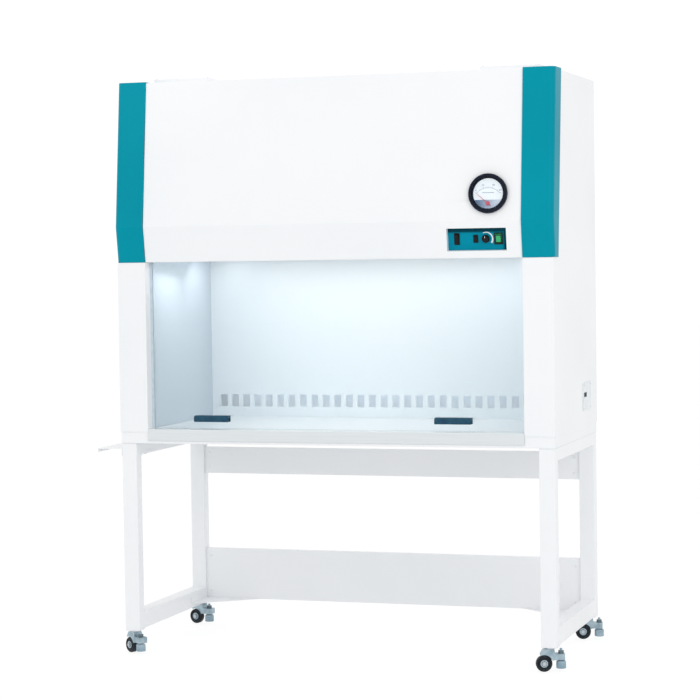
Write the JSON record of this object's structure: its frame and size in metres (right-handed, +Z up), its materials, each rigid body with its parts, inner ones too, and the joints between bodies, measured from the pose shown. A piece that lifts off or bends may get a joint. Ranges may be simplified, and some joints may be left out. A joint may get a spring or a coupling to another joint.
{
  "type": "laminar flow hood",
  "caption": "Vertical laminar flow hood: sloped filter head with corner trims, glass sash, steel work deck and slotted rear wall, on a welded stand with levelling casters.",
  "frame": {"origin": "middle of the whole object's plan box, on the floor under the wheels", "axes": "+Z up, +Y from the user's side to the back, +X to the user's right"},
  "size_m": [1.5226, 0.6524, 1.847],
  "materials": {
    "white_paint": "smooth baked powder coat",
    "teal_paint": "satin teal coat",
    "stainless": "brushed stainless steel",
    "zinc": "zinc plate",
    "caster_alloy": "cast alloy",
    "wheel_nylon": "moulded nylon",
    "pad_rubber": "rubber foot",
    "adjuster_plastic": "notched thumb ring",
    "filter_alloy": "extruded filter frame",
    "filter_paper": "pleated glass-fibre paper",
    "filter_foam": "coarse washable filter mat",
    "galvanised": "galvanised sheet",
    "motor_black": "black enamel",
    "lamp_glass": "white lamp tube",
    "clear_glass": "clear tempered glass",
    "handle_plastic": "dark blue-grey plastic",
    "guide_plastic": "dark grey plastic",
    "black_plastic": "black moulded plastic",
    "green_lens": "green lit lens",
    "bezel_navy": "dark blue gauge housing",
    "dial_white": "white dial",
    "pointer_red": "red pointer",
    "outlet_plastic": "pale moulded plastic"
  },
  "bodies": {
    "cabinet": {"side_frame_left": "white_paint", "side_frame_right": "white_paint", "rear_apron": "white_paint", "lower_rear_panel": "white_paint", "corner_gussets": "white_paint", "side_shelf": "white_paint", "base_frame": "white_paint", "side_panel_left": "white_paint", "side_panel_right": "white_paint", "inner_side_walls": "white_paint", "inner_rear_wall": "white_paint", "rear_cover": "white_paint", "hood_front_panel": "white_paint", "top_cover": "white_paint", "prefilter_frames": "white_paint", "plenum_box": "white_paint", "lamp_fixture": "white_paint", "trim_left": "teal_paint", "trim_right": "teal_paint", "control_plate": "teal_paint", "work_surface": "stainless", "caster_stems": "zinc", "stand_bolts": "zinc", "hepa_frame": "filter_alloy", "hepa_media": "filter_paper", "prefilter_pads": "filter_foam", "blower_housings": "galvanised", "blower_motors": "motor_black", "lamp_tubes": "lamp_glass", "gauge_lens": "clear_glass", "sash_guides": "guide_plastic", "switch_bodies": "black_plastic", "gauge_case": "bezel_navy", "gauge_dial": "dial_white", "power_outlet": "outlet_plastic"},
    "sash": {"sash_glass": "clear_glass", "sash_handles": "handle_plastic"},
    "lamp_switch": {"lamp_switch": "black_plastic"},
    "uv_switch": {"uv_switch": "black_plastic"},
    "power_switch": {"power_switch": "green_lens"},
    "speed_knob": {"speed_knob": "black_plastic"},
    "gauge_pointer": {"gauge_pointer": "pointer_red"},
    "impeller_left": {"impeller_left": "galvanised"},
    "impeller_right": {"impeller_right": "galvanised"},
    "caster_front_left": {"caster_bracket_front_left": "caster_alloy"},
    "wheel_front_left": {"caster_wheel_front_left": "wheel_nylon"},
    "pad_front_left": {"level_pad_front_left": "pad_rubber"},
    "adjuster_front_left": {"level_adjuster_front_left": "adjuster_plastic"},
    "caster_front_right": {"caster_bracket_front_right": "caster_alloy"},
    "wheel_front_right": {"caster_wheel_front_right": "wheel_nylon"},
    "pad_front_right": {"level_pad_front_right": "pad_rubber"},
    "adjuster_front_right": {"level_adjuster_front_right": "adjuster_plastic"},
    "caster_back_left": {"caster_bracket_back_left": "caster_alloy"},
    "wheel_back_left": {"caster_wheel_back_left": "wheel_nylon"},
    "pad_back_left": {"level_pad_back_left": "pad_rubber"},
    "adjuster_back_left": {"level_adjuster_back_left": "adjuster_plastic"},
    "caster_back_right": {"caster_bracket_back_right": "caster_alloy"},
    "wheel_back_right": {"caster_wheel_back_right": "wheel_nylon"},
    "pad_back_right": {"level_pad_back_right": "pad_rubber"},
    "adjuster_back_right": {"level_adjuster_back_right": "adjuster_plastic"}
  },
  "joints": [
    {"name": "sash_slide", "type": "slide", "parent": "cabinet", "child": "sash", "axis": [0, 0, 1], "range_m": [0, 0.48]},
    {"name": "lamp_switch_rock", "type": "hinge", "parent": "cabinet", "child": "lamp_switch", "pos_m": [0.44074, -0.29195, 1.3154], "axis": [-1, 0, 0], "range_deg": [0, 16]},
    {"name": "uv_switch_rock", "type": "hinge", "parent": "cabinet", "child": "uv_switch", "pos_m": [0.49974, -0.29195, 1.3154], "axis": [-1, 0, 0], "range_deg": [0, 16]},
    {"name": "power_switch_rock", "type": "hinge", "parent": "cabinet", "child": "power_switch", "pos_m": [0.57074, -0.29195, 1.3154], "axis": [-1, 0, 0], "range_deg": [0, 16]},
    {"name": "speed_knob_turn", "type": "hinge", "parent": "cabinet", "child": "speed_knob", "pos_m": [0.53174, -0.29096, 1.31555], "axis": [0, 0.9899, 0.1414], "range_deg": [0, 270]},
    {"name": "gauge_pointer_swing", "type": "hinge", "parent": "cabinet", "child": "gauge_pointer", "pos_m": [0.54474, -0.31134, 1.42116], "axis": [0, 0.9946, -0.1036], "range_deg": [0, 100]},
    {"name": "impeller_left_spin", "type": "hinge", "parent": "cabinet", "child": "impeller_left", "pos_m": [-0.29826, 0.04621, 1.62], "axis": [1, 0, 0], "continuous": true},
    {"name": "impeller_right_spin", "type": "hinge", "parent": "cabinet", "child": "impeller_right", "pos_m": [0.36174, 0.04621, 1.62], "axis": [1, 0, 0], "continuous": true},
    {"name": "swivel_front_left", "type": "hinge", "parent": "cabinet", "child": "caster_front_left", "pos_m": [-0.65126, -0.27879, 0.06], "axis": [0, 0, 1], "continuous": true},
    {"name": "wheel_front_left_spin", "type": "hinge", "parent": "caster_front_left", "child": "wheel_front_left", "pos_m": [-0.66784, -0.26761, 0.025], "axis": [0.5592, 0.829, 0], "continuous": true},
    {"name": "pad_front_left_slide", "type": "slide", "parent": "caster_front_left", "child": "pad_front_left", "axis": [0, 0, -1], "range_m": [0, 0.013]},
    {"name": "adjuster_front_left_turn", "type": "hinge", "parent": "caster_front_left", "child": "adjuster_front_left", "pos_m": [-0.62473, -0.29668, 0.0598], "axis": [0, 0, 1], "range_deg": [0, 1560]},
    {"name": "swivel_front_right", "type": "hinge", "parent": "cabinet", "child": "caster_front_right", "pos_m": [0.71474, -0.27879, 0.06], "axis": [0, 0, 1], "continuous": true},
    {"name": "wheel_front_right_spin", "type": "hinge", "parent": "caster_front_right", "child": "wheel_front_right", "pos_m": [0.69572, -0.28497, 0.025], "axis": [-0.309, 0.9511, 0], "continuous": true},
    {"name": "pad_front_right_slide", "type": "slide", "parent": "caster_front_right", "child": "pad_front_right", "axis": [0, 0, -1], "range_m": [0, 0.013]},
    {"name": "adjuster_front_right_turn", "type": "hinge", "parent": "caster_front_right", "child": "adjuster_front_right", "pos_m": [0.74518, -0.2689, 0.0598], "axis": [0, 0, 1], "range_deg": [0, 1560]},
    {"name": "swivel_back_left", "type": "hinge", "parent": "cabinet", "child": "caster_back_left", "pos_m": [-0.65126, 0.30121, 0.06], "axis": [0, 0, 1], "continuous": true},
    {"name": "wheel_back_left_spin", "type": "hinge", "parent": "caster_back_left", "child": "wheel_back_left", "pos_m": [-0.67066, 0.30605, 0.025], "axis": [0.2419, 0.9703, 0], "continuous": true},
    {"name": "pad_back_left_slide", "type": "slide", "parent": "caster_back_left", "child": "pad_back_left", "axis": [0, 0, -1], "range_m": [0, 0.013]},
    {"name": "adjuster_back_left_turn", "type": "hinge", "parent": "caster_back_left", "child": "adjuster_back_left", "pos_m": [-0.62021, 0.29347, 0.0598], "axis": [0, 0, 1], "range_deg": [0, 1560]},
    {"name": "swivel_back_right", "type": "hinge", "parent": "cabinet", "child": "caster_back_right", "pos_m": [0.71474, 0.30121, 0.06], "axis": [0, 0, 1], "continuous": true},
    {"name": "wheel_back_right_spin", "type": "hinge", "parent": "caster_back_right", "child": "wheel_back_right", "pos_m": [0.69505, 0.29774, 0.025], "axis": [-0.1736, 0.9848, 0], "continuous": true},
    {"name": "pad_back_right_slide", "type": "slide", "parent": "caster_back_right", "child": "pad_back_right", "axis": [0, 0, -1], "range_m": [0, 0.013]},
    {"name": "adjuster_back_right_turn", "type": "hinge", "parent": "caster_back_right", "child": "adjuster_back_right", "pos_m": [0.74626, 0.30677, 0.0598], "axis": [0, 0, 1], "range_deg": [0, 1560]}
  ],
  "couplings": [
    {"joint": "adjuster_front_left_turn", "follows": "pad_front_left_slide", "rad_per_m": 2094.4},
    {"joint": "adjuster_front_right_turn", "follows": "pad_front_right_slide", "rad_per_m": 2094.4},
    {"joint": "adjuster_back_left_turn", "follows": "pad_back_left_slide", "rad_per_m": 2094.4},
    {"joint": "adjuster_back_right_turn", "follows": "pad_back_right_slide", "rad_per_m": 2094.4}
  ]
}
